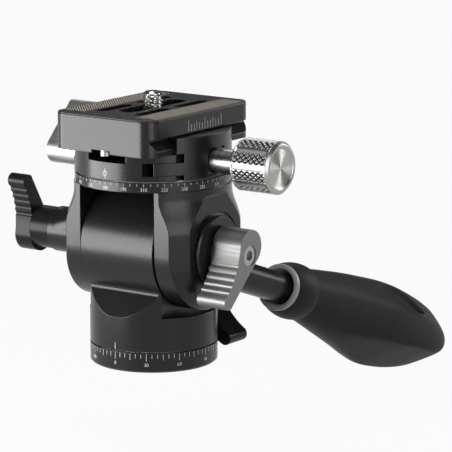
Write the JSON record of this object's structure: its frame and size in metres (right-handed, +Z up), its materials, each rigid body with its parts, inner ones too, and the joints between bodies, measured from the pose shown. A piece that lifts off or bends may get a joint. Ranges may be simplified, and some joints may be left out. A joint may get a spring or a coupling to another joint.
{
  "type": "fluid video head",
  "caption": "Fluid video tripod head: round panning base, tilting yoke on a drag barrel, side lock levers, grip handle, and a panning dovetail clamp holding a camera plate.",
  "frame": {"origin": "centre of the base's underside, at the mouth of the tripod thread", "axes": "+Z up along the pan axis, +X along the tilt axis to the clamp knob's side, +Y towards the handle"},
  "size_m": [0.1005, 0.1682, 0.1113],
  "materials": {
    "black_anodised": "satin black anodised",
    "stainless": "brushed",
    "inner_steel": "machined",
    "brass": "machined",
    "slip_plastic": "low-friction plastic",
    "grip_rubber": "matte",
    "pad_rubber": "ribbed, matte",
    "lip_plastic": "satin"
  },
  "bodies": {
    "base": {"base_disc": "black_anodised", "tripod_insert": "inner_steel", "pan_spindle": "inner_steel", "spindle_screws": "inner_steel", "pan_washer": "slip_plastic"},
    "pan_head": {"pan_housing": "black_anodised", "pan_retainer": "inner_steel", "pan_drag_disc": "slip_plastic", "pan_lock_pad": "brass", "bush_left": "brass", "bush_right": "brass"},
    "pan_lock": {"pan_stud": "inner_steel", "pan_lever": "black_anodised", "pan_lever_screw": "stainless"},
    "tilt_head": {"yoke": "black_anodised", "tilt_shaft": "inner_steel", "drag_drum": "inner_steel", "thrust_left": "slip_plastic", "thrust_right": "slip_plastic", "cheek_cap": "black_anodised", "drag_boss": "black_anodised", "handle_rod": "black_anodised", "grip_lip": "lip_plastic", "grip_collar": "grip_rubber", "handle_grip": "grip_rubber", "clamp_washer": "slip_plastic", "clamp_spindle": "inner_steel", "clamp_keeper": "inner_steel"},
    "tilt_lock": {"tilt_stud": "inner_steel", "tilt_lever": "stainless", "tilt_lever_screw": "stainless"},
    "tilt_drag": {"drag_stud": "inner_steel", "drag_lever": "black_anodised", "drag_lever_screw": "stainless"},
    "clamp": {"clamp_bed": "black_anodised", "guide_pins": "inner_steel", "jaw_springs": "inner_steel"},
    "clamp_lock": {"lock_stud": "inner_steel", "lock_lever": "stainless", "lock_lever_screw": "stainless"},
    "jaw": {"clamp_jaw": "black_anodised"},
    "knob": {"clamp_screw": "stainless", "clamp_knob": "stainless"},
    "plate": {"camera_plate": "black_anodised", "pad_left": "pad_rubber", "pad_right": "pad_rubber", "stop_screws": "stainless"},
    "carrier": {"screw_washer": "inner_steel"},
    "mount_screw": {"camera_screw": "stainless"}
  },
  "joints": [
    {"name": "pan", "type": "hinge", "parent": "base", "child": "pan_head", "pos_m": [0, 0, 0.012], "axis": [0, 0, 1], "continuous": true},
    {"name": "tilt", "type": "hinge", "parent": "pan_head", "child": "tilt_head", "pos_m": [0, 0, 0.0376], "axis": [1, 0, 0], "range_deg": [-15, 85]},
    {"name": "pan_lock_turn", "type": "hinge", "parent": "pan_head", "child": "pan_lock", "pos_m": [0, 0.026, 0.0114], "axis": [0, 1, 0], "range_deg": [0, 80]},
    {"name": "tilt_lock_turn", "type": "hinge", "parent": "tilt_head", "child": "tilt_lock", "pos_m": [0.03, 0, 0.0376], "axis": [1, 0, 0], "range_deg": [-15, 90]},
    {"name": "tilt_drag_turn", "type": "hinge", "parent": "tilt_head", "child": "tilt_drag", "pos_m": [-0.044, 0, 0.0376], "axis": [1, 0, 0], "range_deg": [0, 80]},
    {"name": "clamp_pan", "type": "hinge", "parent": "tilt_head", "child": "clamp", "pos_m": [0, 0, 0.062], "axis": [0, 0, 1], "continuous": true},
    {"name": "clamp_lock_turn", "type": "hinge", "parent": "clamp", "child": "clamp_lock", "pos_m": [-0.03, 0, 0.0637], "axis": [1, 0, 0], "range_deg": [-80, 10]},
    {"name": "jaw_slide", "type": "slide", "parent": "clamp", "child": "jaw", "axis": [1, 0, 0], "range_m": [0, 0.003]},
    {"name": "knob_turn", "type": "hinge", "parent": "jaw", "child": "knob", "pos_m": [0.04, 0, 0.06625], "axis": [1, 0, 0], "range_deg": [0, 1080]},
    {"name": "plate_slide", "type": "slide", "parent": "clamp", "child": "plate", "axis": [0, 1, 0], "range_m": [-0.012, 0.008]},
    {"name": "screw_slide", "type": "slide", "parent": "plate", "child": "carrier", "axis": [0, 1, 0], "range_m": [-0.011, 0.011]},
    {"name": "screw_turn", "type": "hinge", "parent": "carrier", "child": "mount_screw", "pos_m": [0, 0, 0.078], "axis": [0, 0, 1], "continuous": true}
  ],
  "couplings": [
    {"joint": "knob_turn", "follows": "jaw_slide", "rad_per_m": 6283}
  ]
}
